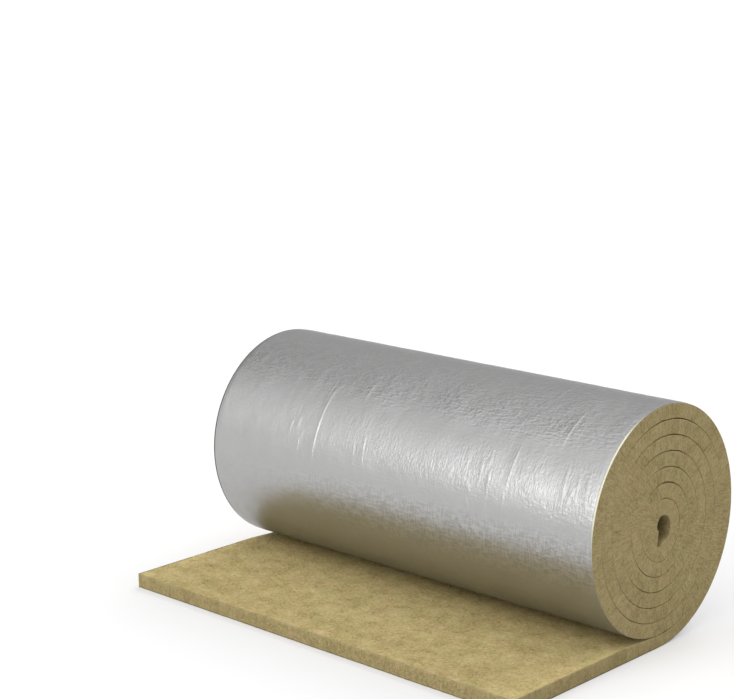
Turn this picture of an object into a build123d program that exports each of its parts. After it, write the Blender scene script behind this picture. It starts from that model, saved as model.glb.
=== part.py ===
from build123d import *
import os

# Foil-faced stone wool mat, partly unrolled.
#
# One long strip of stone wool with aluminium foil bonded to one face. It is wound up with the foil
# outside, and its free end lies flat on the floor in front of the roll, foil down and wool up. The
# roll is one solid with its bore, and its turns are parted at both ends, where they show.
#
# Frame, in millimetres: X runs along the roll, -Y is the way the free end points and Z is up. The
# origin is on the floor, at the middle of the space that the mat takes up.

# The mat itself
MAT_WIDTH = 1000.0
MAT_THICKNESS = 30.0  # wool and foil together
FOIL_THICKNESS = 0.2

# The stretch that lies flat, from the line under the roll's axis to the free end
LAID_LENGTH = 446.0

# The winding, in half turns about two centres, one above the other
TURNS = 7
TURN_GAP = 0.5  # between the wool of one turn and the foil of the next one in
BORE_RADIUS = 12.5  # inner face of the innermost half turn
FULL_SWEEP = 180.0  # degrees
INNER_END_SWEEP = 158.0  # degrees of the innermost half turn, at which the strip ends
PARTED_DEPTH = 12.0  # how far in from each end of the roll its turns are parted

HALF_TURNS = 2 * TURNS
PITCH = MAT_THICKNESS + TURN_GAP
HALF_PITCH = PITCH / 2
ROLL_RADIUS = BORE_RADIUS + MAT_THICKNESS + (HALF_TURNS - 1) * HALF_PITCH
INNERMOST = HALF_TURNS - 1

AXIS_Y = (LAID_LENGTH - ROLL_RADIUS) / 2
FREE_END_Y = AXIS_Y - LAID_LENGTH


def half_turn(number, depth, first=0, last=FULL_SWEEP):
    """Arc of one half turn, counted from the outermost, at a depth below the outside of the foil.

    Even ones rise behind the axis and odd ones come down in front of it. An odd one has its centre
    half a pitch higher and is half a pitch smaller, so it starts where the one before it stopped.
    """
    in_front = number % 2
    centre = (AXIS_Y, ROLL_RADIUS + in_front * HALF_PITCH)
    radius = ROLL_RADIUS - number * HALF_PITCH - depth
    start_angle = 90 if in_front else -90
    return CenterArc(centre, radius, start_angle + first, last - first)


def outer_face(depth):
    """Side view of the face that shows, from the free end, under the roll and once round it."""
    return [Line((FREE_END_Y, depth), (AXIS_Y, depth)), half_turn(0, depth), half_turn(1, depth)]


def between(one_side, other_side):
    """Area between two lines of edges that run the same way."""
    first_end = Line(one_side[0] @ 0, other_side[0] @ 0)
    last_end = Line(one_side[-1] @ 1, other_side[-1] @ 1)
    return make_face([*one_side, last_end, *other_side, first_end])


def bore():
    """Hole that the innermost turn leaves, with the strip's square-cut inner end on one side of it."""
    rising = half_turn(INNERMOST - 1, MAT_THICKNESS)
    falling = half_turn(INNERMOST, MAT_THICKNESS, last=INNER_END_SWEEP)
    past_the_end = half_turn(INNERMOST - 2, MAT_THICKNESS, first=INNER_END_SWEEP)
    inner_end = Line(falling @ 1, past_the_end @ 0)
    return make_face([rising, falling, inner_end, past_the_end])


def parting():
    """Spiral line between the turns, from where the roll meets the laid stretch in to the bore."""
    def side(depth):
        outer_turns = [half_turn(number, depth) for number in range(INNERMOST - 2)]
        return outer_turns + [half_turn(INNERMOST - 2, depth, last=INNER_END_SWEEP)]
    return between(side(MAT_THICKNESS), side(PITCH + FOIL_THICKNESS))


def across_the_mat(section):
    """A side view drawn out over the whole width of the mat."""
    return extrude(Plane.YZ * section, amount=MAT_WIDTH / 2, both=True)


def wool_mat():
    laid_top = Line((FREE_END_Y, MAT_THICKNESS), (AXIS_Y, MAT_THICKNESS))
    wool = across_the_mat(between(outer_face(FOIL_THICKNESS), [laid_top]) - bore())
    for end_x in (-MAT_WIDTH / 2, MAT_WIDTH / 2 - PARTED_DEPTH):
        wool -= extrude(Plane.YZ.offset(end_x) * parting(), amount=PARTED_DEPTH)
    return wool


def foil_facing():
    return across_the_mat(between(outer_face(0), outer_face(FOIL_THICKNESS)))


os.makedirs("parts", exist_ok=True)
export_step(wool_mat(), "parts/wool_mat.step")
export_step(foil_facing(), "parts/foil_facing.step")

wound_length = sum(half_turn(number, MAT_THICKNESS / 2).length for number in range(INNERMOST))
inner_length = half_turn(INNERMOST, MAT_THICKNESS / 2, last=INNER_END_SWEEP).length
print(f"strip length {LAID_LENGTH + wound_length + inner_length:.0f} mm, roll radius {ROLL_RADIUS:.1f} mm")
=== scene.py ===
import math

import bmesh
import bpy
import numpy as np
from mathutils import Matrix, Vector


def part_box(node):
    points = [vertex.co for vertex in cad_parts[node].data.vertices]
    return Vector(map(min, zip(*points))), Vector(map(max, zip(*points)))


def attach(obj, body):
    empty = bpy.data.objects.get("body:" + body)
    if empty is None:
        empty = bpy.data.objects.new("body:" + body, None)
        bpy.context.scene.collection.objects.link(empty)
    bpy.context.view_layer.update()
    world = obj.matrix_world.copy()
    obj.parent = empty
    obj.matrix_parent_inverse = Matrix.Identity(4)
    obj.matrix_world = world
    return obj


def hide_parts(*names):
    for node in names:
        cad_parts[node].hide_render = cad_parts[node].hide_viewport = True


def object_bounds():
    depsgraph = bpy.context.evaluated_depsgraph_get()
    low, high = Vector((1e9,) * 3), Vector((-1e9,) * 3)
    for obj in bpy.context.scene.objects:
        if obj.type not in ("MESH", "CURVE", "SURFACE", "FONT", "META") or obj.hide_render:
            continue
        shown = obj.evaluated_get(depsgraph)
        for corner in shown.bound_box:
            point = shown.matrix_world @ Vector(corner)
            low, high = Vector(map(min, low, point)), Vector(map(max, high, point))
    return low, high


# Foil-faced stone wool mat, partly unrolled, in metres in the frame of the solids:
# X along the roll, -Y the way the free end points, Z up, floor at zero.

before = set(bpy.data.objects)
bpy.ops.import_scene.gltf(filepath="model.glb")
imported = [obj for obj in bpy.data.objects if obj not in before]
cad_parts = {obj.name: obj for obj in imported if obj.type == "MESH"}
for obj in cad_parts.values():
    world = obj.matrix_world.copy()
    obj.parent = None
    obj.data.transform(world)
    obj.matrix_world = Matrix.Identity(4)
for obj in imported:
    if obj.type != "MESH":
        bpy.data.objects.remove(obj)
CAD_LOW, CAD_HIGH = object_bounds()

MM = 0.001
SEED = 20

# Sizes that the frame gives
HALF_WIDTH = CAD_HIGH.x
ROLL_RADIUS = CAD_HIGH.z / 2
FREE_END_Y = CAD_LOW.y
AXIS_Y = -FREE_END_Y - ROLL_RADIUS
LAID_LENGTH = AXIS_Y - FREE_END_Y
FOIL_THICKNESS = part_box("wool_mat")[0].z

# The winding, as it is in the solids
MAT_THICKNESS = 30 * MM
TURN_GAP = 0.5 * MM
TURNS = 7
INNER_END_SWEEP = math.radians(158)
HALF_TURNS = 2 * TURNS
HALF_PITCH = (MAT_THICKNESS + TURN_GAP) / 2
FACING_HALF_TURNS = 2

# Places along the strip of the roll's top and of the last foil that shows, and the middle radius between
TOP_PLACE = LAID_LENGTH + math.pi * (ROLL_RADIUS - MAT_THICKNESS / 2)
FRONT_ARC = ROLL_RADIUS - HALF_PITCH - MAT_THICKNESS / 2
ROLLED_OUT = TOP_PLACE + math.pi * FRONT_ARC


# Noise for shapes

# Numbers that scramble the place of a lattice corner into its random value
HASH_SEED = 2654435761
HASH_AXES = (73856093, 19349663, 83492791)
HASH_SHIFTS = 13, 15
HASH_SPREAD = 1274126177
HASH_MASK = 0x7FFFFFFF
HASH_LEVELS = 65536


def eased(share):
    """A share from 0 to 1 that starts and stops gently."""
    return share * share * (3 - 2 * share)


def smooth_step(low, high, values):
    """0 below low, 1 above high and smooth between them."""
    return eased(np.clip((values - low) / (high - low), 0, 1))


def lattice_noise(points, cell, seed):
    """Smooth noise from -1 to 1 at rows of points, from one random value at each corner of a lattice."""
    scaled = np.asarray(points, float) / np.asarray(cell, float)
    base = np.floor(scaled).astype(np.int64)
    share = eased(scaled - base)
    total = np.zeros(len(scaled))
    for corner in np.ndindex(*(2,) * scaled.shape[1]):
        key = np.full(len(scaled), seed * HASH_SEED, np.int64)
        weight = np.ones(len(scaled))
        for axis, step in enumerate(corner):
            key ^= (base[:, axis] + step) * HASH_AXES[axis]
            weight *= share[:, axis] if step else 1 - share[:, axis]
        key = ((key ^ (key >> HASH_SHIFTS[0])) * HASH_SPREAD) & HASH_MASK
        level = (key ^ (key >> HASH_SHIFTS[1])) % HASH_LEVELS
        total += weight * (2 * level / HASH_LEVELS - 1)
    return total


def layered_noise(points, layers, mean=0):
    """Noises about a mean, each layer given by its height, the size of its cells and its seed."""
    return sum((height * lattice_noise(points, cell, seed) for height, cell, seed in layers), mean)


# The strip's path

def strip_path(laid_step, wound_step):
    """Stations along the strip, from the free end to the end in the core.

    Gives the (y, z) of the foil's outside, the (y, z) of the way into the mat from there, the distance
    along the middle of the mat, and the number of half turns gone by, which is negative on the laid
    stretch. The two steps are the spacing of the stations on the laid stretch and on the roll.
    """
    laid_count = math.ceil(LAID_LENGTH / laid_step)
    laid_y = np.linspace(FREE_END_Y, AXIS_Y, laid_count, endpoint=False)
    feet = [np.stack([laid_y, np.zeros(laid_count)], 1)]
    ways_in = [np.tile([0.0, 1.0], (laid_count, 1))]
    gone_by = [(laid_y - AXIS_Y) / LAID_LENGTH]
    for number in range(HALF_TURNS):
        in_front = number % 2
        last = number == HALF_TURNS - 1
        sweep = INNER_END_SWEEP if last else math.pi
        radius = ROLL_RADIUS - number * HALF_PITCH
        count = math.ceil((radius - MAT_THICKNESS / 2) * sweep / wound_step)
        turned = np.linspace(0, sweep, count + last, endpoint=last)
        angle = turned + (math.pi / 2 if in_front else -math.pi / 2)
        outward = np.stack([np.cos(angle), np.sin(angle)], 1)
        feet.append([AXIS_Y, ROLL_RADIUS + in_front * HALF_PITCH] + radius * outward)
        ways_in.append(-outward)
        gone_by.append(number + turned / math.pi)
    feet, ways_in, gone_by = (np.concatenate(rows) for rows in (feet, ways_in, gone_by))
    middle = feet + ways_in * MAT_THICKNESS / 2
    steps = np.linalg.norm(np.diff(middle, axis=0), axis=1)
    return {
        "foot": feet,
        "way_in": ways_in,
        "along": np.concatenate([[0], np.cumsum(steps)]),
        "gone_by": gone_by,
        "laid_count": laid_count,
    }


def strip_places(along, depth, across):
    """Places in the unrolled strip, for points in one row or in several."""
    return np.stack(np.broadcast_arrays(along, depth, across), -1)


# How far the roll hangs lower below its axis, at each distance from the axis
SETTLED_REACH = np.array((28, 58, 88, 150, 210, 240)) * MM
SETTLED_DROP = np.array((10.5, 8.3, 6.8, 5.9, 4.2, 0)) * MM
SETTLED_TOP_SHARE = 0.1
SETTLED_POWER = 1.5
LEAST_REACH = 1 * MM

# The bore's edge moves where the strip's inner end has sprung back and where the mat bulges beside its
# tail: each place from the axis, how far it moved and how far round it the mat moved along, in millimetres
BORE_MOVES = (
    ((-9, 5), (-6.5, -7), 13),
    ((8, -26), (-7, 6), 9),
)


def settled(points):
    """Points of the winding, moved to where the mat's own weight and spring have brought them."""
    from_axis = points[:, 1:] - [AXIS_Y, ROLL_RADIUS]
    reach = np.linalg.norm(from_axis, axis=1)
    upright = from_axis[:, 1] / np.maximum(reach, LEAST_REACH)
    drop = np.interp(reach, SETTLED_REACH, SETTLED_DROP) * np.abs(upright) ** SETTLED_POWER
    moved = points.copy()
    moved[:, 2] -= np.where(upright < 0, drop, SETTLED_TOP_SHARE * drop)
    for place, move, span in BORE_MOVES:
        from_place = np.linalg.norm(from_axis / MM - place, axis=1)
        moved[:, 1:] += np.exp(-(from_place / span) ** 2 / 2)[:, None] * move * MM
    return moved


DRIFT_LAYERS = ((0.5 * MM, (420 * MM,), SEED + 1),)


def sideways_drift(along):
    """How far the strip wanders along X as it is wound: no two turns are quite flush at the ends."""
    return layered_noise(along[:, None], DRIFT_LAYERS)


# Meshes

def new_object(name, data):
    made = bpy.data.objects.new(name, data)
    bpy.context.scene.collection.objects.link(made)
    return made


def new_piece(name, mesh, material):
    """A piece of the mat from its mesh, with smooth faces."""
    mesh.polygons.foreach_set("use_smooth", [True] * len(mesh.polygons))
    mesh.materials.append(material)
    piece = new_object(name, mesh)
    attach(piece, "root")
    return piece


class Builder:
    """Collects vertices, their places in the unrolled strip, and faces, and makes one mesh object."""

    def __init__(self):
        self.points = []
        self.strip = []
        self.faces = []
        self.count = 0

    def add(self, points, strip):
        """Adds rows of points and returns their numbers, in the shape of the rows."""
        shape = points.shape[:-1]
        self.points.append(settled(points.reshape(-1, 3)))
        self.strip.append(strip.reshape(-1, 3))
        numbers = np.arange(self.count, self.count + len(self.points[-1])).reshape(shape)
        self.count += numbers.size
        return numbers

    def grid(self, numbers):
        """Quads over a two-way array of vertex numbers."""
        quads = np.stack([numbers[:-1, :-1], numbers[1:, :-1], numbers[1:, 1:], numbers[:-1, 1:]], -1)
        self.faces += quads.reshape(-1, 4).tolist()

    def between(self, one_row, other_row):
        """Quads between two rows of vertex numbers."""
        self.grid(np.stack([one_row, other_row], 1))

    def bridge(self, row, first, last):
        """Triangles from a long row of vertices to an edge of two."""
        half = len(row) // 2
        for place in range(len(row) - 1):
            self.faces.append([row[place], row[place + 1], first if place < half else last])
        self.faces.append([row[half], first, last])

    def make(self, name, material, sharp_degrees):
        mesh = bpy.data.meshes.new(name)
        faces = [[int(number) for number in face] for face in self.faces]
        mesh.from_pydata(np.concatenate(self.points).tolist(), [], faces)
        strip = mesh.attributes.new("strip", "FLOAT_VECTOR", "POINT")
        strip.data.foreach_set("vector", np.concatenate(self.strip).astype(np.float32).ravel())
        work = bmesh.new()
        work.from_mesh(mesh)
        bmesh.ops.recalc_face_normals(work, faces=work.faces)
        work.to_mesh(mesh)
        work.free()
        piece = new_piece(name, mesh, material)
        mesh.set_sharp_from_angle(angle=math.radians(sharp_degrees))
        return piece


# Materials

# Numbers of the Mix node's sockets for values and for colours
VALUE_INPUTS = 2, 3
COLOUR_INPUTS = 6, 7
COLOUR_OUTPUT = 2


class Nodes:
    """Short names for the shader nodes that the materials use."""

    def __init__(self, tree):
        self.tree = tree
        tree.nodes.clear()

    def node(self, kind, inputs=(), **settings):
        made = self.tree.nodes.new(kind)
        for name, value in settings.items():
            setattr(made, name, value)
        for name, value in dict(inputs).items():
            if isinstance(value, bpy.types.NodeSocket):
                self.tree.links.new(value, made.inputs[name])
            else:
                made.inputs[name].default_value = value
        return made

    def math(self, operation, first, second=0.0):
        return self.node("ShaderNodeMath", {0: first, 1: second}, operation=operation).outputs[0]

    def chain(self, operation, values):
        """One value out of several, by the same operation on each in turn."""
        total, *others = values
        for value in others:
            total = self.math(operation, total, value)
        return total

    def times(self, *values):
        return self.chain("MULTIPLY", values)

    def largest(self, *values):
        return self.chain("MAXIMUM", values)

    def weighted(self, values, weights):
        """Sum of values, each times its weight."""
        return self.chain("ADD", [self.times(*pair) for pair in zip(values, weights)])

    def attribute(self, name, output="Fac"):
        return self.node("ShaderNodeAttribute", attribute_name=name).outputs[output]

    def strip(self):
        """Place in the unrolled strip: along it, into it from the foil, and across it."""
        return self.attribute("strip", "Vector")

    def parts(self, vector):
        """The three parts of a vector."""
        return self.node("ShaderNodeSeparateXYZ", {0: vector}).outputs

    def scaled(self, vector, scale, turn=(0, 0, 0)):
        inputs = {"Vector": vector, "Scale": scale, "Rotation": turn}
        return self.node("ShaderNodeMapping", inputs, vector_type="TEXTURE").outputs[0]

    def noise(self, vector, scale=1.0, detail=2.0, roughness=0.5, distortion=0.0):
        inputs = {"Vector": vector, "Scale": scale, "Detail": detail, "Roughness": roughness}
        return self.node("ShaderNodeTexNoise", {**inputs, "Distortion": distortion}).outputs["Fac"]

    def ramp(self, factor, stops):
        made = self.node("ShaderNodeValToRGB", {"Fac": factor})
        elements = made.color_ramp.elements
        while len(elements) < len(stops):
            elements.new(1)
        for element, (place, colour) in zip(elements, stops):
            element.position = place
            element.color = (*colour, 1)
        return made.outputs["Color"]

    def spread(self, factor, low, high, to_low=0.0, to_high=1.0, kind="LINEAR"):
        inputs = {"Value": factor, "From Min": low, "From Max": high, "To Min": to_low, "To Max": to_high}
        return self.node("ShaderNodeMapRange", inputs, interpolation_type=kind).outputs[0]

    def smooth(self, factor, low, high, to_low=0.0, to_high=1.0):
        return self.spread(factor, low, high, to_low, to_high, "SMOOTHSTEP")

    def between(self, factor, first, second):
        """A value some share of the way from one value to another."""
        inputs = {"Factor": factor, **dict(zip(VALUE_INPUTS, (first, second)))}
        return self.node("ShaderNodeMix", inputs).outputs[0]

    def mix(self, factor, first, second, blend="MIX"):
        made = self.node("ShaderNodeMix", {"Factor": factor}, data_type="RGBA", blend_type=blend)
        for place, value in zip(COLOUR_INPUTS, (first, second)):
            if isinstance(value, bpy.types.NodeSocket):
                self.tree.links.new(value, made.inputs[place])
            else:
                made.inputs[place].default_value = (*value, 1)
        return made.outputs[COLOUR_OUTPUT]

    def bump(self, height, distance):
        return self.node("ShaderNodeBump", {"Height": height, "Distance": distance}).outputs[0]

    def finish(self, shader):
        self.node("ShaderNodeOutputMaterial", {"Surface": shader.outputs[0]})

    def principled(self, inputs):
        self.finish(self.node("ShaderNodeBsdfPrincipled", inputs))


def new_material(name):
    material = bpy.data.materials.new(name)
    material.use_nodes = True
    return material, Nodes(material.node_tree)


# Colours of the wool, on the bare laid face and on the cut faces
LAID_DARK = (0.315, 0.238, 0.095)
LAID_MEAN = (0.55, 0.44, 0.20)
LAID_LIGHT = (0.70, 0.593, 0.32)
CUT_DARK = (0.262, 0.204, 0.092)
CUT_MEAN = (0.407, 0.325, 0.155)
CUT_LIGHT = (0.515, 0.422, 0.223)
# Colour of the painted shade on the wool
WOOL_PAINTED_SHADE = (0.10, 0.08, 0.035)
WOOL_COOL_TINT = (0.98, 1.015, 0.975)
WOOL_WARM_TINT = (1.02, 0.985, 1.025)
LAID_STOPS = ((0.36, LAID_DARK), (0.53, LAID_MEAN), (0.70, LAID_LIGHT))
CUT_STOPS = ((0.35, CUT_DARK), (0.50, CUT_MEAN), (0.67, CUT_LIGHT))
FIBRE_STOPS = ((0.0, CUT_DARK), (0.5, LAID_MEAN), (1.0, LAID_LIGHT))

# Patterns of the wool: clumps, flecks, fibres that lie crossed, upright ones and staves
CLUMPS = {"scale": 26, "detail": 3, "roughness": 0.55}
FLECKS = {"scale": 210, "detail": 2, "roughness": 0.6, "distortion": 0.4}
LAY = {"detail": 2, "roughness": 0.6, "distortion": 0.6}
LAY_CELL = (15 * MM, 5 * MM, 2.6 * MM)
LAY_DEGREES = (12, 74, 131)
UPRIGHT = {"detail": 2, "roughness": 0.6, "distortion": 0.5}
UPRIGHT_CELL = (3 * MM, 16 * MM, 3 * MM)
STAVES = {"detail": 1, "distortion": 0.2}
STAVES_CELL = (9 * MM, 70 * MM, 9 * MM)
TINT = {"scale": 42, "detail": 2}
TINT_SPREAD = 0.38, 0.62
LAID_SHARES = 0.32, 0.4, 0.28
CUT_SHARES = 0.25, 0.3, 0.25, 0.2
WOOL_ROUGHNESS = 0.95
WOOL_SPECULAR = 0.15
WOOL_BUMP = 1.1 * MM
FIBRE_ROUGHNESS = 0.8
FIBRE_SPECULAR = 0.2

# Where the wool is painted darker, as painted shade and as a darker strip along one side: from how far to
# how far off, and by what share
# Painted shade on the wound wool away from its ends, which darkens the bore
CORE_REACH = 2 * MM, 40 * MM
CORE_PAINTED_SHADE_SHARE = 0.7
# Painted contact shadow at the foot of the laid stretch's cut faces, next to the foil
BY_FOIL_REACH = 1 * MM, 3 * MM
BY_FOIL_PAINTED_SHADOW_SHARE = 0.6
FAR_SIDE_REACH = 2.5 * MM, 5 * MM
FAR_SIDE_DARK_SHARE = 0.75
# Painted shade on top of the laid stretch, towards the free end
FRONT_PAINTED_SHADE_REACH = 15 * MM, 140 * MM
FRONT_PAINTED_SHADE_SHARE = 0.11
# More painted shade on the free end's rounded top edge, where the light catches it
FREE_EDGE_REACH = 2 * MM, 12 * MM
FREE_EDGE_PAINTED_SHADE_SHARE = 0.2
TOP_SKIN = 1 * MM


def painted_wool_shade(nodes, place):
    """How far the wool is painted darker: painted shade inside the roll, by the foil and on top at the free
    end, and a darker strip along one side on top.
    """
    along, depth, across = nodes.parts(place)
    wound = nodes.math("GREATER_THAN", along, LAID_LENGTH)
    laid = nodes.math("SUBTRACT", 1.0, wound)
    on_top = nodes.math("GREATER_THAN", depth, MAT_THICKNESS - TOP_SKIN)
    from_end = nodes.math("SUBTRACT", HALF_WIDTH, nodes.math("ABSOLUTE", across))
    # Painted shade on the wound wool more than a few millimetres in from the ends, seen in the bore
    core = nodes.times(wound, nodes.spread(from_end, *CORE_REACH, 0, CORE_PAINTED_SHADE_SHARE))
    # Painted contact shadow along the foot of the laid stretch's cut faces
    painted_foil_contact_shadow = nodes.times(nodes.spread(depth, *BY_FOIL_REACH, BY_FOIL_PAINTED_SHADOW_SHARE, 0), laid)
    dark_from, dark_to = (reach - HALF_WIDTH for reach in FAR_SIDE_REACH)
    far_side = nodes.spread(across, dark_from, dark_to, FAR_SIDE_DARK_SHARE, 0)
    # Painted shade on top of the laid stretch towards the free end
    painted_front_shade = nodes.smooth(along, *FRONT_PAINTED_SHADE_REACH, FRONT_PAINTED_SHADE_SHARE, 0)
    # More painted shade on the rounded top edge at the free end
    free_edge = nodes.spread(along, *FREE_EDGE_REACH, FREE_EDGE_PAINTED_SHADE_SHARE, 0)
    on_face = nodes.times(nodes.largest(nodes.times(far_side, laid), painted_front_shade, free_edge), on_top)
    return nodes.largest(core, painted_foil_contact_shadow, on_face)


def crossed_fibres(nodes, place):
    """Fibres that lie across each other in several ways along the mat."""
    turns = [(0, math.radians(degrees), 0) for degrees in LAY_DEGREES]
    return nodes.largest(*(nodes.noise(nodes.scaled(place, LAY_CELL, turn), **LAY) for turn in turns))


def wool_material():
    """Matted stone wool: crossed fibres on the laid face, fibres through the thickness on the cut faces."""
    material, nodes = new_material("stone_wool")
    place = nodes.strip()
    cut = nodes.attribute("cut")
    along, _, _ = nodes.parts(place)
    wound = nodes.math("GREATER_THAN", along, LAID_LENGTH)

    clumps = nodes.noise(place, **CLUMPS)
    flecks = nodes.noise(place, **FLECKS)
    lay = crossed_fibres(nodes, place)
    upright = nodes.noise(nodes.scaled(place, UPRIGHT_CELL), **UPRIGHT)
    staves = nodes.noise(nodes.scaled(place, STAVES_CELL), **STAVES)
    staves = nodes.between(wound, staves, upright)

    laid_mixed = nodes.weighted((clumps, flecks, lay), LAID_SHARES)
    cut_mixed = nodes.weighted((clumps, flecks, upright, staves), CUT_SHARES)
    colour = nodes.mix(cut, nodes.ramp(laid_mixed, LAID_STOPS), nodes.ramp(cut_mixed, CUT_STOPS))
    tint = nodes.spread(nodes.noise(place, **TINT), *TINT_SPREAD)
    colour = nodes.mix(1.0, colour, nodes.mix(tint, WOOL_COOL_TINT, WOOL_WARM_TINT), "MULTIPLY")
    # Painted shade on the wool, mixed into its colour
    colour = nodes.mix(painted_wool_shade(nodes, place), colour, WOOL_PAINTED_SHADE)

    laid_height = nodes.math("ADD", lay, flecks)
    cut_height = nodes.math("ADD", upright, flecks)
    nodes.principled({
        "Base Color": colour,
        "Roughness": WOOL_ROUGHNESS,
        "Specular IOR Level": WOOL_SPECULAR,
        "Normal": nodes.bump(nodes.between(cut, laid_height, cut_height), WOOL_BUMP),
    })
    return material


def fibre_material():
    """Loose fibres, each of its own shade."""
    material, nodes = new_material("loose_fibre")
    nodes.principled({
        "Base Color": nodes.ramp(nodes.attribute("shade"), FIBRE_STOPS),
        "Roughness": FIBRE_ROUGHNESS,
        "Specular IOR Level": FIBRE_SPECULAR,
    })
    return material


FOIL_COLOUR = (0.45, 0.45, 0.45)
FOIL_WORN = (0.40, 0.40, 0.395)
FOIL_GLANCING = (0.85, 0.85, 0.85, 1)
GRAIN_DARK = (0.37, 0.37, 0.365)
GRAIN_LIGHT = (0.48, 0.48, 0.48)
# Pale cut edge of the foil, partly a painted highlight, and the painted shade along its left edge
PALE_EDGE = (0.80, 0.77, 0.61)
PAINTED_EDGE_SHADE = (0.07, 0.065, 0.06)
FOIL_METALLIC = 0.9
FOIL_ROUGHNESS = 0.30, 0.41
FOIL_BUMP = 1 * MM


def past_top(degrees):
    """Distance along the strip from the roll's top to a place so many degrees past it."""
    return math.radians(degrees) * FRONT_ARC


# Bands round the roll, as distances from its top: crumpled crown, streaked brow and finely grained foot
CROWN = past_top(38), past_top(52)
BROW = past_top(68)
BROW_REACH = past_top(12), past_top(20)
FOOT_START = past_top(84), past_top(94)
FOOT_STOP = past_top(106), past_top(122)
BACK_GRAIN_SHARE = 0.2

# How loose the foil is: from end to end of the roll, behind its top, and in patches
SLACK_REACH = -0.9 * HALF_WIDTH, 0.9 * HALF_WIDTH
SLACK_SHARES = 0.5, 1.55
BACK_REACH = TOP_PLACE - past_top(60), TOP_PLACE - past_top(15)
BACK_SLACK_SHARE = 1.3
PATCHES = {"scale": 8, "detail": 2}
PATCH_SPREAD = 0.40, 0.60
PATCH_SHARES = 0.6, 1.1

# Fine wrinkles of the foil, and their shares outside and inside the bands where each is strongest
CRUMPLE = {"scale": 120, "detail": 1, "roughness": 0.5, "distortion": 0.6}
CRUMPLE_SHARES = 0.15, 0.75
LOWER_CRUMPLE_SHARE = 0.5
ROUND_CELL = (16 * MM, 1, 3.4 * MM)
ROUND = {"detail": 1, "roughness": 0.4, "distortion": 0.4}
ROUND_SHARES = 0.11, 0.30
ACROSS_CELL = (4.5 * MM, 1, 20 * MM)
ACROSS = {"detail": 1, "roughness": 0.4, "distortion": 0.5}
ACROSS_SHARES = 0.15, 1.3

# Net of threads under the foil
SCRIM_PITCH = 8 * MM
SCRIM_THREAD = 1.6 * MM
SCRIM_SHARE = 0.10
SCRIM_PRESSED = {"scale": 5, "detail": 2}
SCRIM_SPREAD = 0.42, 0.60

# Wear, sheen and grain of the foil
WEAR = {"scale": 24, "detail": 3}
SHEEN = {"scale": 60, "detail": 2}
SHEEN_SPREAD = 0.3, 0.7
HATCH_SHARE = 0.5
GRAIN_SPREAD = 0.42, 0.58
GRAIN_REACH = -0.9 * HALF_WIDTH, 0.1 * HALF_WIDTH
GRAIN_LEFT_SHARE = 0.15
CROWN_GRAIN_SHARE = 0.2

# Edges of the foil, as distances in from the mat's sides: a pale band on the right, kept only round the
# part of the roll where the light catches it, so partly a painted highlight, and painted shade along the
# left; and where round the roll the pale one is lit
PALE_EDGE_REACH = 4.6 * MM, 3.0 * MM
PAINTED_EDGE_SHADE_REACH = 4.4 * MM, 3.0 * MM
PALE_EDGE_LIT_START = past_top(8), past_top(34)
PALE_EDGE_LIT_STOP = past_top(78), past_top(106)


def foil_scrim(nodes, place):
    """Threads of the net under the foil, one each way in every square, faint in places."""
    along, _, across = nodes.parts(place)
    from_threads = [nodes.math("PINGPONG", way, SCRIM_PITCH / 2) for way in (along, across)]
    net = nodes.largest(*(nodes.smooth(away, 0, SCRIM_THREAD / 2, 1, 0) for away in from_threads))
    return nodes.times(net, nodes.spread(nodes.noise(place, **SCRIM_PRESSED), *SCRIM_SPREAD))


def foil_bands(nodes, along, from_top):
    """1 on the roll's crown, brow and foot, and 0 away from each. The foot is faint behind."""
    from_brow = nodes.math("ABSOLUTE", nodes.math("SUBTRACT", from_top, BROW))
    crown = nodes.smooth(from_top, *CROWN, 1, 0)
    brow = nodes.smooth(from_brow, *BROW_REACH, 1, 0)
    in_front = nodes.math("GREATER_THAN", along, TOP_PLACE)
    foot = nodes.times(
        nodes.smooth(from_top, *FOOT_START),
        nodes.smooth(from_top, *FOOT_STOP, 1, 0),
        nodes.spread(in_front, 0, 1, BACK_GRAIN_SHARE, 1),
    )
    return crown, brow, foot


def foil_slack(nodes, place):
    """How loose the foil is on the wool, in front more so towards the right end."""
    along, _, across = nodes.parts(place)
    in_front = nodes.spread(across, *SLACK_REACH, *SLACK_SHARES)
    behind = nodes.smooth(along, *BACK_REACH, 1, 0)
    slack = nodes.between(behind, in_front, BACK_SLACK_SHARE)
    patches = nodes.spread(nodes.noise(place, **PATCHES), *PATCH_SPREAD, *PATCH_SHARES)
    return nodes.times(slack, patches)


def foil_edges(nodes, across, from_top):
    """1 on the foil's edges, and their colour: a pale band on the right, kept only where the light catches
    it as a partly painted highlight, and painted shade on the left.
    """
    pale_from, pale_to = (HALF_WIDTH - reach for reach in PALE_EDGE_REACH)
    dark_from, dark_to = (reach - HALF_WIDTH for reach in PAINTED_EDGE_SHADE_REACH)
    # The pale edge kept only where the light catches it round the roll: partly a painted highlight
    shown = nodes.times(nodes.spread(from_top, *PALE_EDGE_LIT_START), nodes.spread(from_top, *PALE_EDGE_LIT_STOP, 1, 0))
    pale = nodes.times(nodes.spread(across, pale_from, pale_to), shown)
    # Painted shade along the foil's left edge
    dark = nodes.spread(across, dark_from, dark_to)
    return nodes.largest(pale, dark), nodes.mix(pale, PAINTED_EDGE_SHADE, PALE_EDGE)


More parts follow.
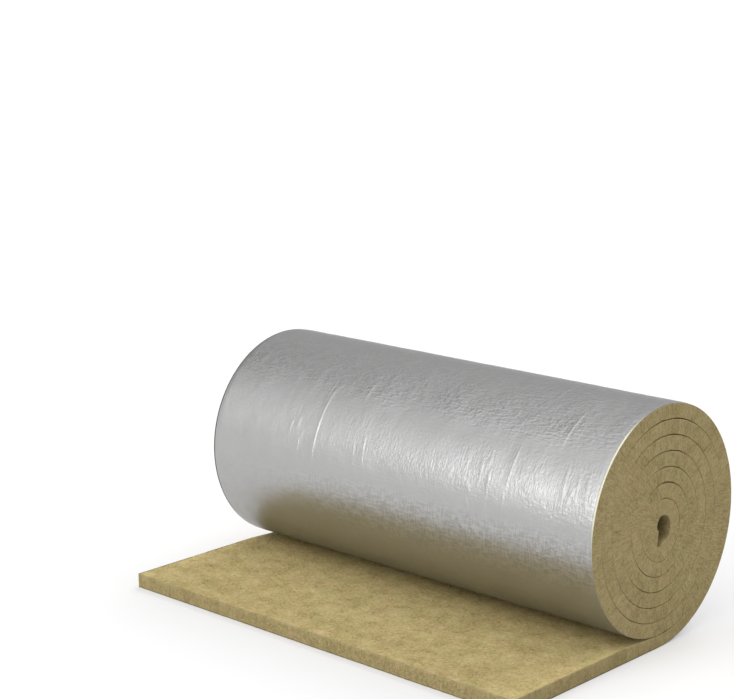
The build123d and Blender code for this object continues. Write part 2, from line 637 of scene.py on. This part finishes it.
def foil_material():
    """Satin foil over wool: crumple and wrinkles both ways in bands round the roll, grain and cut edges."""
    material, nodes = new_material("aluminium_foil")
    place = nodes.strip()
    along, _, across = nodes.parts(place)
    from_top = nodes.math("ABSOLUTE", nodes.math("SUBTRACT", along, TOP_PLACE))
    crown, brow, foot = foil_bands(nodes, along, from_top)
    slack = foil_slack(nodes, place)

    crumple = nodes.noise(place, **CRUMPLE)
    round_roll = nodes.noise(nodes.scaled(place, ROUND_CELL), **ROUND)
    across_roll = nodes.noise(nodes.scaled(place, ACROSS_CELL), **ACROSS)
    crumpled = nodes.largest(crown, nodes.times(nodes.largest(brow, foot), LOWER_CRUMPLE_SHARE))
    height = nodes.weighted((crumple, round_roll, across_roll, foil_scrim(nodes, place)), (
        nodes.times(slack, nodes.spread(crumpled, 0, 1, *CRUMPLE_SHARES)),
        nodes.times(slack, nodes.spread(brow, 0, 1, *ROUND_SHARES)),
        nodes.times(slack, nodes.spread(crown, 0, 1, *ACROSS_SHARES)),
        SCRIM_SHARE,
    ))

    colour = nodes.mix(nodes.noise(place, **WEAR), FOIL_COLOUR, FOIL_WORN)
    hatched = nodes.times(nodes.math("ADD", round_roll, across_roll), HATCH_SHARE)
    grain = nodes.mix(nodes.spread(hatched, *GRAIN_SPREAD), GRAIN_DARK, GRAIN_LIGHT)
    foot_grain = nodes.times(foot, nodes.smooth(across, *GRAIN_REACH, GRAIN_LEFT_SHARE, 1))
    colour = nodes.mix(nodes.largest(foot_grain, nodes.times(crown, CROWN_GRAIN_SHARE)), colour, grain)
    # The foil's edges: a partly painted highlight on the right and painted shade on the left
    edge, edge_colour = foil_edges(nodes, across, from_top)
    nodes.principled({
        "Base Color": nodes.mix(edge, colour, edge_colour),
        "Metallic": nodes.spread(edge, 0, 1, FOIL_METALLIC, 0),
        "Roughness": nodes.spread(nodes.noise(place, **SHEEN), *SHEEN_SPREAD, *FOIL_ROUGHNESS),
        "Specular Tint": FOIL_GLANCING,
        "Normal": nodes.bump(height, FOIL_BUMP),
    })
    return material


# The wool

WOOL_STEP = 3.1 * MM
WOOL_COLUMNS = 300
WOOL_DEPTH_SHARES = (0, 0.015, 0.04, 0.09, 0.2, 0.35, 0.5, 0.65, 0.8, 0.91, 0.96, 0.985, 1)
WOOL_SHARP_DEGREES = 60
LAID_EDGE_ROUND = 1.6 * MM
TURN_EDGE_ROUND = 1.5 * MM
LEAST_ROUND_SHARE = 0.1
SLACK_ROUND_SHARE = 0.3
RAGGED_LAYERS = ((0.8, (9 * MM,), SEED + 15),)
RAGGED_MEAN_SHARE = 0.8

# How the turns stand apart, with places in half turns from the outermost one in
TURN_OPENING = 1.2 * MM
OPENING_LAYERS = ((0.5, (130 * MM,), SEED + 2), (0.45, (11 * MM,), SEED + 14))
OPENING_MEAN_SHARE = 0.75
PRESSED_HALF_TURNS = HALF_TURNS - 2.8, HALF_TURNS - 2.5
PRESSED_SHARE = 0.35
SLACK_HALF_TURNS = 5, 6.5
SLACK_OPEN_SHARE = 0.4
SLACK_CLOSED_SHARE = 0.25
TIGHT_HALF_TURNS = 7, 8
TIGHT_LEAN = 0.3
TIGHT_CLOSED_SHARE = 0.95
# How open the line inside each turn is where it passes under the axis, from the outermost turn in
HANGING_SHARES = (1.0, 0.45, 0.7, 0.6, 1.0, 0.75, 0.6, 0.6)

# Relief of the faces: layers of noise, and how far from an edge or from the roll it fades
END_LAYERS = (
    (0.30 * MM, (6 * MM, 22 * MM), SEED + 3),
    (0.40 * MM, (11 * MM, 9 * MM), SEED + 4),
)
END_FADE = 5 * MM
END_NOISE_SHIFT = 7.0
LAID_LAYERS = (
    (0.8 * MM, (70 * MM, 70 * MM), SEED + 5),
    (0.55 * MM, (19 * MM, 23 * MM), SEED + 6),
    (0.45 * MM, (8 * MM, 9 * MM), SEED + 7),
)
LAID_FADE = 120 * MM, 40 * MM
FREE_END_LAYERS = (
    (0.8 * MM, (90 * MM, 60 * MM), SEED + 8),
    (0.45 * MM, (6 * MM, 30 * MM), SEED + 9),
)


def pressed_home(path):
    """1 on the last turn and a bit, which is pressed on the turn outside it, and 0 before that."""
    return smooth_step(*PRESSED_HALF_TURNS, path["gone_by"])


def hanging(path):
    """Share of each turn's line that stays open below the axis, and 1 above it."""
    turn = np.clip(np.rint(path["gone_by"] / 2), 0, TURNS).astype(int)
    return np.where(path["way_in"][:, 1] > 0, np.array(HANGING_SHARES)[turn], 1)


def slack_behind(path):
    """1 where the inner turns stand a little apart behind the axis, and 0 away from there."""
    inner = smooth_step(*SLACK_HALF_TURNS, path["gone_by"]) * (1 - pressed_home(path))
    return inner * np.maximum(-path["way_in"][:, 0], 0) ** 2


def drawn_tight(path):
    """1 where the turns are drawn together: all in front above the axis, the outer ones behind below it."""
    lean = path["way_in"][:, 0] * path["way_in"][:, 1]
    outer = 1 - smooth_step(*TIGHT_HALF_TURNS, path["gone_by"])
    return smooth_step(0, TIGHT_LEAN, -lean) * np.where(path["way_in"][:, 1] > 0, outer, 1)


def turn_opening(path):
    """How far each turn stands off the next one in: most at the top and the bottom of the roll."""
    upright = np.abs(path["way_in"][:, 1])
    closed = (SLACK_CLOSED_SHARE + TIGHT_CLOSED_SHARE * drawn_tight(path)) * path["way_in"][:, 0] ** 2
    ragged = layered_noise(path["along"][:, None], OPENING_LAYERS, OPENING_MEAN_SHARE)
    opening = upright ** 2 * ragged - closed
    opening += SLACK_OPEN_SHARE * slack_behind(path)
    pressed = pressed_home(path)
    opening = opening * (1 - pressed) - PRESSED_SHARE * pressed
    return np.where(path["gone_by"] > 0, TURN_OPENING * opening * hanging(path), 0)


def edge_rounds(path):
    """Radius of the strip's edges at each station: least where the turns press on each other."""
    wound = path["gone_by"] > 0
    tight = TIGHT_CLOSED_SHARE * drawn_tight(path) * path["way_in"][:, 0] ** 2
    apart = np.maximum(path["way_in"][:, 1] ** 2 - tight, 0)
    ragged = layered_noise(path["along"][:, None], RAGGED_LAYERS, RAGGED_MEAN_SHARE)
    open_share = np.where(wound, apart, 1) * np.where(wound, hanging(path) * ragged, 1)
    least = LEAST_ROUND_SHARE + SLACK_ROUND_SHARE * slack_behind(path)
    open_share = np.maximum(open_share * (1 - pressed_home(path)), least)
    return np.where(wound, TURN_EDGE_ROUND, LAID_EDGE_ROUND) * open_share


def rounding(distance, radius):
    """How far a rounded edge falls back from the flat, at a distance from that edge."""
    inside = np.clip(1 - distance / radius, 0, 1)
    return radius * (1 - np.sqrt(1 - inside ** 2))


def end_relief(strip, edge_round):
    """How far a cut end of the wool stands out, from its place in the strip."""
    depth = strip[:, 1]
    from_edge = np.minimum(depth - FOIL_THICKNESS, MAT_THICKNESS - depth)
    relief = layered_noise(strip[:, :2], END_LAYERS)
    return relief * smooth_step(0, END_FADE, from_edge) - rounding(from_edge, edge_round)


def laid_relief(strip):
    """How far the bare laid face stands up: matted tufts that flatten where the roll lies on them."""
    fade_from, fade_to = (LAID_LENGTH - reach for reach in LAID_FADE)
    free = 1 - smooth_step(fade_from, fade_to, strip[:, 0])
    from_edge = np.minimum(strip[:, 0], HALF_WIDTH - np.abs(strip[:, 2]))
    return layered_noise(strip[:, [0, 2]], LAID_LAYERS) * free - rounding(from_edge, LAID_EDGE_ROUND)


def free_end_relief(strip):
    """How far the square-cut free end stands out: upright fibres and a slightly wavering cut."""
    from_edge = np.minimum(MAT_THICKNESS - strip[:, 1], HALF_WIDTH - np.abs(strip[:, 2]))
    return layered_noise(strip[:, [2, 1]], FREE_END_LAYERS) - rounding(from_edge, LAID_EDGE_ROUND)


def wool_ends(builder, path, depth):
    """Vertices of the strip's left and right ends, in rows through its thickness."""
    along = path["along"][:, None]
    even_depth = FOIL_THICKNESS + (MAT_THICKNESS - FOIL_THICKNESS) * np.array(WOOL_DEPTH_SHARES)
    edge_round = np.repeat(edge_rounds(path), len(even_depth))
    yz = path["foot"][:, None, :] + path["way_in"][:, None, :] * depth[:, :, None]
    ends = []
    for side in (-1, 1):
        even = strip_places(along + side * END_NOISE_SHIFT, even_depth, side * HALF_WIDTH)
        relief = end_relief(even.reshape(-1, 3), edge_round).reshape(depth.shape)
        across = side * (HALF_WIDTH + relief) + sideways_drift(path["along"])[:, None]
        points = np.concatenate([across[:, :, None], yz], 2)
        ends.append(builder.add(points, strip_places(along, depth, side * HALF_WIDTH)))
    return ends


def wool_top(builder, along, columns):
    """Vertices of the bare laid face, between the strip's two ends."""
    strip = strip_places(along[:, None], MAT_THICKNESS, columns)
    points = np.stack([strip[:, :, 2], FREE_END_Y + strip[:, :, 0], strip[:, :, 1]], -1)
    points[:, :, 2] += laid_relief(strip.reshape(-1, 3)).reshape(points.shape[:2])
    return builder.add(points, strip)


def wool_front(builder, depth, columns):
    """Vertices of the square-cut free end below its top edge, between the strip's two ends."""
    strip = strip_places(0, depth[:, None], columns)
    points = np.stack([strip[:, :, 2], FREE_END_Y + strip[:, :, 0], strip[:, :, 1]], -1)
    points[:, :, 1] -= free_end_relief(strip.reshape(-1, 3)).reshape(points.shape[:2])
    return builder.add(points, strip)


def make_wool(material):
    path = strip_path(WOOL_STEP, WOOL_STEP)
    laid = path["laid_count"] + 1
    full = MAT_THICKNESS - FOIL_THICKNESS - turn_opening(path)
    depth = FOIL_THICKNESS + full[:, None] * np.array(WOOL_DEPTH_SHARES)
    columns = np.linspace(-HALF_WIDTH, HALF_WIDTH, WOOL_COLUMNS + 1)[1:-1]

    builder = Builder()
    left, right = wool_ends(builder, path, depth)
    bare = wool_top(builder, path["along"][:laid], columns)
    top = np.concatenate([left[:laid, -1:], bare, right[:laid, -1:]], 1)
    front = wool_front(builder, depth[0, :-1], columns)
    front = np.concatenate([left[0, :-1, None], front, right[0, :-1, None]], 1)
    front = np.concatenate([front, top[:1]], 0)

    for rows in (left, right, top, front):
        builder.grid(rows)
    builder.bridge(front[0].tolist(), left[1, 0], right[1, 0])
    builder.between(left[1:, 0], right[1:, 0])
    builder.bridge(top[-1].tolist(), left[laid, -1], right[laid, -1])
    builder.between(left[laid:, -1], right[laid:, -1])
    builder.between(left[-1], right[-1])

    piece = builder.make("wool_mat_strip", material, WOOL_SHARP_DEGREES)
    is_cut = np.ones(builder.count)
    is_cut[bare] = 0
    attribute = piece.data.attributes.new("cut", "FLOAT", "POINT")
    attribute.data.foreach_set("value", is_cut.astype(np.float32))
    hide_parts("wool_mat")


# The foil

FOIL_COLUMNS = 410
FOIL_LAID_STEP = 20 * MM
FOIL_WOUND_STEP = 6.2 * MM
FOIL_SETBACK = 0.2 * MM
FOIL_SHARP_DEGREES = 50

# How far the foil stands off, and where it comes down to the wool
FOIL_MEAN = 0.8 * MM
FOIL_LAYERS = (
    (0.45 * MM, (150 * MM, 120 * MM), SEED + 10),
    (0.22 * MM, (40 * MM, 34 * MM), SEED + 11),
    (0.13 * MM, (17 * MM, 14 * MM), SEED + 12),
)
STREAK_LAYERS = ((0.05 * MM, (24 * MM, 6.5 * MM), SEED + 13),)
FOIL_LEAST = 0.02 * MM
FOIL_LIFT = 90 * MM
FOIL_SIDE_FADE = -1 * MM, 14 * MM

# Shape of a crease: its slow and steep sides, and the shares of its length where it comes and goes
CREASE_SCALE_SHARE = 1.15
CREASE_RISE = 8 * MM
CREASE_FALL = 2.1 * MM
CREASE_START_SHARES = -0.05, 0.25
CREASE_STOP_SHARES = 0.7, 1.05

# Random creases, small ones all over and larger ones behind: lengths, drift and heights in millimetres
SMALL_CREASES = 140
SMALL_CREASE_SIZES = (15, 70), 4, (0.1, 0.3)
BACK_CREASES = 48
BACK_CREASE_SIZES = (35, 130), 7, (0.3, 0.7)
BACK_CREASE_DEGREES = 35, 125

# How much closer the foil's columns lie at its creases, and how far from each
COLUMN_SAMPLES = 4001
CREASE_DENSITY = 2.6
CREASE_REACH = 6 * MM

# Creases that run round the roll: place across the mat in millimetres, degrees past the top at which
# each one starts and stops, how far it drifts across on the way, and its height in millimetres
CREASES = (
    (-204, 40, 90, -5, 0.60),
    (-277, 63, 73, -7, 0.35),
    (-259, 61, 68, -4, 0.35),
    (-251, 72, 82, -1, 0.35),
    (-236, 78, 84, -1, 0.25),
    (-77, 62, 80, 7, 0.50),
    (-102, 66, 76, 5, 0.30),
    (-116, 33, 45, -2, 0.35),
    (-190, 38, 50, -24, 0.30),
    (297, 51, 74, -5, 0.75),
    (291, 72, 106, -4, 0.45),
    (227, 62, 74, 0, 0.60),
    (247, 66, 80, 3, 0.65),
    (249, 78, 108, -4, 0.45),
    (246, 58, 68, -10, 0.35),
    (384, 22, 47, -2, 0.85),
    (418, 55, 78, 5, 0.70),
    (443, 64, 76, -10, 0.55),
    (447, 58, 73, 6, 0.55),
    (468, 57, 76, 10, 0.60),
    (186, 91, 101, 28, 0.80),
    (184, 85, 91, 13, 0.60),
    (203, 81, 89, 8, 0.60),
    (204, 74, 79, 6, 0.50),
    (276, 65, 71, -4, 0.30),
    (290, -14, 20, 8, 0.50),
    (38, 7, 24, 1, 0.25),
)


def drawn_crease(draw, begin, lengths, drift, heights):
    """One random crease that starts at a place along the strip."""
    length = draw.uniform(*lengths) * MM
    across = draw.uniform(-HALF_WIDTH, HALF_WIDTH)
    sideways = draw.normal(0, drift) * MM
    return across, begin, begin + length, sideways, draw.uniform(*heights) * MM


def foil_creases():
    """Every crease as (place across, start along, stop along, drift, height), in metres."""
    rows = []
    for across, start, stop, drift, height in CREASES:
        begin = TOP_PLACE + past_top(start)
        end = TOP_PLACE + past_top(stop)
        rows.append((across * MM, begin, end, drift * MM, CREASE_SCALE_SHARE * height * MM))
    draw = np.random.default_rng(SEED)
    for _ in range(SMALL_CREASES):
        begin = draw.uniform(LAID_LENGTH, ROLLED_OUT)
        rows.append(drawn_crease(draw, begin, *SMALL_CREASE_SIZES))
    for _ in range(BACK_CREASES):
        begin = TOP_PLACE - past_top(draw.uniform(*BACK_CREASE_DEGREES))
        rows.append(drawn_crease(draw, begin, *BACK_CREASE_SIZES))
    return rows


def foil_relief(strip):
    """How far the foil stands off the wool under it: undulations, crumple and creases."""
    flat = strip[:, [0, 2]]
    relief = layered_noise(flat, FOIL_LAYERS, FOIL_MEAN)
    from_brow = np.abs(np.abs(flat[:, 0] - TOP_PLACE) - BROW)
    relief += (1 - smooth_step(*BROW_REACH, from_brow)) * layered_noise(flat, STREAK_LAYERS)
    for across, begin, end, drift, height in foil_creases():
        share = (flat[:, 0] - begin) / (end - begin)
        near = (share > CREASE_START_SHARES[0]) & (share < CREASE_STOP_SHARES[1])
        share = share[near]
        window = smooth_step(*CREASE_START_SHARES, share) * (1 - smooth_step(*CREASE_STOP_SHARES, share))
        sideways = flat[near, 1] - across - drift * share
        falling = np.clip(1 - sideways / CREASE_FALL, 0, 1)
        relief[near] += height * window * np.exp(np.minimum(sideways, 0) / CREASE_RISE) * falling
    from_side = HALF_WIDTH - np.abs(strip[:, 2])
    loose = smooth_step(0, FOIL_LIFT, np.minimum(flat[:, 0] - LAID_LENGTH, ROLLED_OUT - flat[:, 0]))
    return np.maximum(relief, FOIL_LEAST) * smooth_step(*FOIL_SIDE_FADE, from_side) * loose


def foil_columns():
    """Places across the mat of the foil's inner columns, which lie closer together at its creases."""
    places = np.linspace(-HALF_WIDTH, HALF_WIDTH, COLUMN_SAMPLES)
    density = np.ones(COLUMN_SAMPLES)
    for across, _, _, drift, _ in CREASES:
        from_crease = np.abs(places - (across + drift / 2) * MM) - abs(drift) / 2 * MM
        closeness = np.exp(-(np.maximum(from_crease, 0) / CREASE_REACH) ** 2)
        density = np.maximum(density, 1 + CREASE_DENSITY * closeness)
    gone = np.concatenate([[0], np.cumsum((density[1:] + density[:-1]) / 2)])
    return np.interp(np.linspace(0, gone[-1], FOIL_COLUMNS + 1), gone, places)[1:-1]


def foil_sides(builder, path, facing):
    """Vertices of the foil's left and right sides, on its outside and on its inside."""
    outside, inside = [], []
    along = path["along"][facing]
    for side in (-1, 1):
        across = side * (HALF_WIDTH - FOIL_SETBACK) + sideways_drift(along)
        for rows, depth in ((outside, 0.0), (inside, FOIL_THICKNESS)):
            yz = (path["foot"] + path["way_in"] * depth)[facing]
            points = np.concatenate([across[:, None], yz], 1)
            rows.append(builder.add(points, strip_places(along, depth, side * HALF_WIDTH)))
    return outside, inside


def foil_skin(builder, path, wound):
    """Vertices of the foil's outside round the roll, between its two sides."""
    strip = strip_places(path["along"][wound, None], 0, foil_columns())
    off = foil_relief(strip.reshape(-1, 3)).reshape(strip.shape[:2])
    yz = path["foot"][wound, None, :] - path["way_in"][wound, None, :] * off[:, :, None]
    return builder.add(np.concatenate([strip[:, :, 2:], yz], 2), strip)


def make_foil(material):
    path = strip_path(FOIL_LAID_STEP, FOIL_WOUND_STEP)
    facing = np.nonzero(path["gone_by"] <= FACING_HALF_TURNS)[0]
    wound = facing[path["laid_count"]:]

    builder = Builder()
    outside, inside = foil_sides(builder, path, facing)
    left, right = outside
    skin = foil_skin(builder, path, wound)
    skin = np.concatenate([left[wound, None], skin, right[wound, None]], 1)

    laid_edge = wound[0] - 1
    builder.grid(skin)
    builder.bridge(skin[0].tolist(), left[laid_edge], right[laid_edge])
    builder.between(left[:wound[0]], right[:wound[0]])
    builder.between(*inside)
    for edge_out, edge_in in zip(outside, inside):
        builder.between(edge_out, edge_in)
    builder.faces.append([left[0], right[0], inside[1][0], inside[0][0]])
    builder.bridge(skin[-1].tolist(), inside[0][-1], inside[1][-1])

    piece = builder.make("foil_facing_sheet", material, FOIL_SHARP_DEGREES)
    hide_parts("foil_facing")


# Loose fibres

FIBRE_SIDES = 3
FIBRE_RINGS = 3
LAID_FIBRES = 8000
END_FIBRES = 7500
EDGE_FIBRES = 3000
SHORTEST_FIBRE = 4 * MM
LONGEST_FIBRE = 15 * MM
LONGEST_CUT_FIBRE = 9 * MM
FIBRE_SUNK = 0.3 * MM
FIBRE_BOW_SHARE = 0.12
FIBRE_MIDDLE_SHARE = 0.5
# Least and most that a fibre stands up, and its least and largest radius, in millimetres
FIBRE_LIFTS = 0.2, 0.9
FIBRE_RADII = 0.10, 0.24
# Mean and spread of the fibres' shade, and spread of the ways that cut fibres run
FIBRE_SHADES = 0.55, 0.25
FIBRE_WAY_SPREAD = 0.5
# How far the fibres keep from the edges of the faces and from the roll
FIBRE_MARGIN = 2 * MM
CUT_FIBRE_MARGIN = 5 * MM
ROLL_MARGIN = 70 * MM
LAID_SEED = SEED + 30
END_SEED = SEED + 31
EDGE_SEED = SEED + 32


def unit(vectors):
    return vectors / np.linalg.norm(vectors, axis=1, keepdims=True)


def fibre_faces(count, per_fibre):
    """Faces of many closed fibres: a point, rings of vertices and a point each."""
    pattern = []
    for side in range(FIBRE_SIDES):
        after = (side + 1) % FIBRE_SIDES
        pattern.append([0, 1 + after, 1 + side])
        for ring in range(FIBRE_RINGS - 1):
            low = 1 + ring * FIBRE_SIDES
            high = low + FIBRE_SIDES
            pattern.append([low + side, low + after, high + after, high + side])
        top = 1 + (FIBRE_RINGS - 1) * FIBRE_SIDES
        pattern.append([top + side, top + after, per_fibre - 1])
    starts = range(0, count * per_fibre, per_fibre)
    return [[start + corner for corner in face] for start in starts for face in pattern]


def make_fibres(name, centre, run, out, longest, material):
    """Short closed fibres that bow up from a face, by their middles, the ways they run and the ways out."""
    centre = settled(centre)
    count = len(centre)
    draw = np.random.default_rng(SEED + len(name))
    length = draw.uniform(SHORTEST_FIBRE, longest, count)[:, None]
    lift = draw.uniform(*FIBRE_LIFTS, count)[:, None] * MM
    bow = draw.normal(0, FIBRE_BOW_SHARE, count)[:, None] * length
    radius = draw.uniform(*FIBRE_RADII, count)[:, None] * MM
    beside = unit(np.cross(run, out))
    shares = np.linspace(0, 1, FIBRE_RINGS + 2)

    def along_fibre(share):
        rise = 1 - (2 * share - 1) ** 2
        middle = centre + run * length * (share - FIBRE_MIDDLE_SHARE)
        return middle + out * (lift * rise - FIBRE_SUNK) + beside * bow * rise

    vertices = [along_fibre(shares[0])]
    for share in shares[1:-1]:
        middle = along_fibre(share)
        for side in range(FIBRE_SIDES):
            angle = 2 * math.pi * side / FIBRE_SIDES
            vertices.append(middle + radius * (out * math.cos(angle) + beside * math.sin(angle)))
    vertices.append(along_fibre(shares[-1]))
    per_fibre = len(vertices)

    mesh = bpy.data.meshes.new(name)
    mesh.from_pydata(np.stack(vertices, 1).reshape(-1, 3).tolist(), [], fibre_faces(count, per_fibre))
    shade = np.repeat(np.clip(draw.normal(*FIBRE_SHADES, count), 0, 1), per_fibre)
    mesh.attributes.new("shade", "FLOAT", "POINT").data.foreach_set("value", shade.astype(np.float32))
    piece = new_piece(name, mesh, material)


def laid_fibres(material):
    """Fibres matted every way on the bare laid face."""
    draw = np.random.default_rng(LAID_SEED)
    along = draw.uniform(FIBRE_MARGIN, LAID_LENGTH - ROLL_MARGIN, LAID_FIBRES)
    across = draw.uniform(FIBRE_MARGIN - HALF_WIDTH, HALF_WIDTH - FIBRE_MARGIN, LAID_FIBRES)
    relief = laid_relief(strip_places(along, MAT_THICKNESS, across))
    centre = np.stack([across, FREE_END_Y + along, MAT_THICKNESS + relief], 1)
    turn = draw.uniform(0, math.pi, LAID_FIBRES)
    run = np.stack([np.cos(turn), np.sin(turn), np.zeros(LAID_FIBRES)], 1)
    out = np.tile([0.0, 0, 1], (LAID_FIBRES, 1))
    make_fibres("laid_face_fibres", centre, run, out, LONGEST_FIBRE, material)


def end_fibres(material):
    """Fibres on the cut ends of the strip, mostly through its thickness."""
    path = strip_path(WOOL_STEP, WOOL_STEP)
    draw = np.random.default_rng(END_SEED)
    station = draw.integers(0, len(path["along"]), END_FIBRES)
    depth = draw.uniform(CUT_FIBRE_MARGIN, MAT_THICKNESS - CUT_FIBRE_MARGIN, END_FIBRES)
    side = draw.choice([-1.0, 1.0], END_FIBRES)
    yz = path["foot"][station] + path["way_in"][station] * depth[:, None]
    across = side * HALF_WIDTH + sideways_drift(path["along"][station])
    way = path["way_in"][station] + draw.normal(0, FIBRE_WAY_SPREAD, (END_FIBRES, 2))
    run = unit(np.concatenate([np.zeros((END_FIBRES, 1)), way], 1))
    out = np.stack([side, np.zeros(END_FIBRES), np.zeros(END_FIBRES)], 1)
    centre = np.concatenate([across[:, None], yz], 1)
    make_fibres("cut_end_fibres", centre, run, out, LONGEST_CUT_FIBRE, material)


def free_edge_fibres(material):
    """Fibres on the square-cut free end, mostly upright."""
    draw = np.random.default_rng(EDGE_SEED)
    depth = draw.uniform(CUT_FIBRE_MARGIN, MAT_THICKNESS - CUT_FIBRE_MARGIN, EDGE_FIBRES)
    across = draw.uniform(FIBRE_MARGIN - HALF_WIDTH, HALF_WIDTH - FIBRE_MARGIN, EDGE_FIBRES)
    relief = free_end_relief(strip_places(0, depth, across))
    centre = np.stack([across, FREE_END_Y - relief, depth], 1)
    lean = draw.normal(0, FIBRE_WAY_SPREAD, EDGE_FIBRES)
    run = np.stack([lean, np.zeros(EDGE_FIBRES), np.ones(EDGE_FIBRES)], 1)
    out = np.tile([0.0, -1, 0], (EDGE_FIBRES, 1))
    make_fibres("free_edge_fibres", centre, unit(run), out, LONGEST_CUT_FIBRE, material)


# Floor, light and camera

WHITE = (1, 1, 1, 1)
FLOOR_COLOUR = (0.56, 0.56, 0.56, 1)
FLOOR_GLOW = 0.30
FLOOR_REACH = 60


def make_floor():
    """A wide pale floor with the mat's soft shadow on it. Its glow doesn't light matt surfaces."""
    mesh = bpy.data.meshes.new("floor")
    corners = [(x * FLOOR_REACH, y * FLOOR_REACH, 0) for x, y in ((-1, -1), (1, -1), (1, 1), (-1, 1))]
    mesh.from_pydata(corners, [], [(0, 1, 2, 3)])
    material, nodes = new_material("floor")
    seen = nodes.node("ShaderNodeLightPath")
    rays = ("Is Camera Ray", "Is Glossy Ray", "Is Transmission Ray")
    strength = nodes.times(nodes.largest(*(seen.outputs[ray] for ray in rays)), FLOOR_GLOW)
    glow = nodes.node("ShaderNodeEmission", {"Color": WHITE, "Strength": strength})
    matt = nodes.node("ShaderNodeBsdfDiffuse", {"Color": FLOOR_COLOUR})
    nodes.finish(nodes.node("ShaderNodeAddShader", {0: matt.outputs[0], 1: glow.outputs[0]}))
    mesh.materials.append(material)
    floor = new_object("floor", mesh)


# Levels of the studio behind and in front, and where it changes from one to the other and to the right
WORLD_BACK = 0.55
WORLD_FRONT = 0.88
WORLD_BACK_TO_FRONT = 0.65, -0.6
WORLD_LEFT_TO_RIGHT = -0.4, 0.4
WORLD_RIGHT_SHARE = 0.52
WORLD_LEAST = 0.15
# Soft lights and, last, a dark flat: the way to each, its gain and how narrow it is
WORLD_LOBES = (
    ((-0.40, -0.83, 0.38), 0.42, 20),
    ((0.15, 0.0, 0.99), 0.75, 4),
    ((0.0, -0.72, 0.69), 0.65, 6),
    ((-0.2, -0.83, 0.52), 0.7, 18),
    ((0.05, 0.67, 0.74), 0.5, 10),
    ((-0.90, 0.05, 0.43), -1.2, 22),
)


def make_world():
    """A soft studio, dimmer behind and on the right, with its lights and a dark flat on the left."""
    world = bpy.data.worlds.new("studio")
    world.use_nodes = True
    bpy.context.scene.world = world
    nodes = Nodes(world.node_tree)
    way = nodes.node("ShaderNodeTexCoord").outputs["Generated"]
    way_x, way_y, _ = nodes.parts(way)
    level = nodes.smooth(way_y, *WORLD_BACK_TO_FRONT, WORLD_BACK, WORLD_FRONT)
    level = nodes.times(level, nodes.smooth(way_x, *WORLD_LEFT_TO_RIGHT, 1, WORLD_RIGHT_SHARE))
    for lobe_way, gain, power in WORLD_LOBES:
        facing = nodes.node("ShaderNodeVectorMath", {0: way, 1: lobe_way}, operation="DOT_PRODUCT")
        lobe = nodes.math("POWER", nodes.largest(facing.outputs["Value"], 0.0), power)
        level = nodes.math("ADD", level, nodes.times(lobe, gain))
    level = nodes.largest(level, WORLD_LEAST)
    background = nodes.node("ShaderNodeBackground", {"Color": WHITE, "Strength": level})
    nodes.node("ShaderNodeOutputWorld", {"Surface": background.outputs[0]})


HIGH_PLACE = (0.12, 2.2, 2.4)
HIGH_ENERGY = 1.55
HIGH_DEGREES = 40
SOFTBOX_PLACE = (-1.1, -3.2, 1.4)
SOFTBOX_ENERGY = 11
SOFTBOX_SIZE = 1.5


def make_lamps():
    """A wide soft light from high behind, which reflections leave out, and a softbox low in front."""
    high = bpy.data.lights.new("high", "SUN")
    high.energy = HIGH_ENERGY
    high.angle = math.radians(HIGH_DEGREES)
    softbox = bpy.data.lights.new("softbox", "AREA")
    softbox.shape = "DISK"
    softbox.size = SOFTBOX_SIZE
    softbox.energy = SOFTBOX_ENERGY
    for light, place in ((high, HIGH_PLACE), (softbox, SOFTBOX_PLACE)):
        lamp = new_object(light.name, light)
        lamp.location = place
        towards = Vector((0, 0, ROLL_RADIUS)) - lamp.location
        lamp.rotation_euler = towards.to_track_quat("-Z", "Y").to_euler()
        lamp.visible_glossy = light is softbox


# Camera, set to the photograph's view
IMAGE_WIDTH = 734
FOCAL_PIXELS = 1915.6
SENSOR_WIDTH = 36
CAMERA_AZIMUTH = math.radians(42.615)
CAMERA_ELEVATION = math.radians(12.42)
CAMERA_DISTANCE = 3.9363
CAMERA_TARGET = Vector((-0.1654, 0, 0.5043))
CAMERA_CLIP = 200


def make_camera():
    camera = new_object("camera", bpy.data.cameras.new("camera"))
    camera.data.sensor_width = SENSOR_WIDTH
    camera.data.lens = FOCAL_PIXELS * SENSOR_WIDTH / IMAGE_WIDTH
    back = Vector((
        math.sin(CAMERA_AZIMUTH) * math.cos(CAMERA_ELEVATION),
        -math.cos(CAMERA_AZIMUTH) * math.cos(CAMERA_ELEVATION),
        math.sin(CAMERA_ELEVATION),
    ))
    camera.location = CAMERA_TARGET + back * CAMERA_DISTANCE
    camera.rotation_euler = (-back).to_track_quat("-Z", "Y").to_euler()
    camera.data.clip_end = CAMERA_CLIP
    bpy.context.scene.camera = camera


make_wool(wool_material())
make_foil(foil_material())
loose_fibre = fibre_material()
laid_fibres(loose_fibre)
end_fibres(loose_fibre)
free_edge_fibres(loose_fibre)
make_floor()
make_world()
make_lamps()
make_camera()
bpy.context.scene.view_settings.view_transform = "Standard"
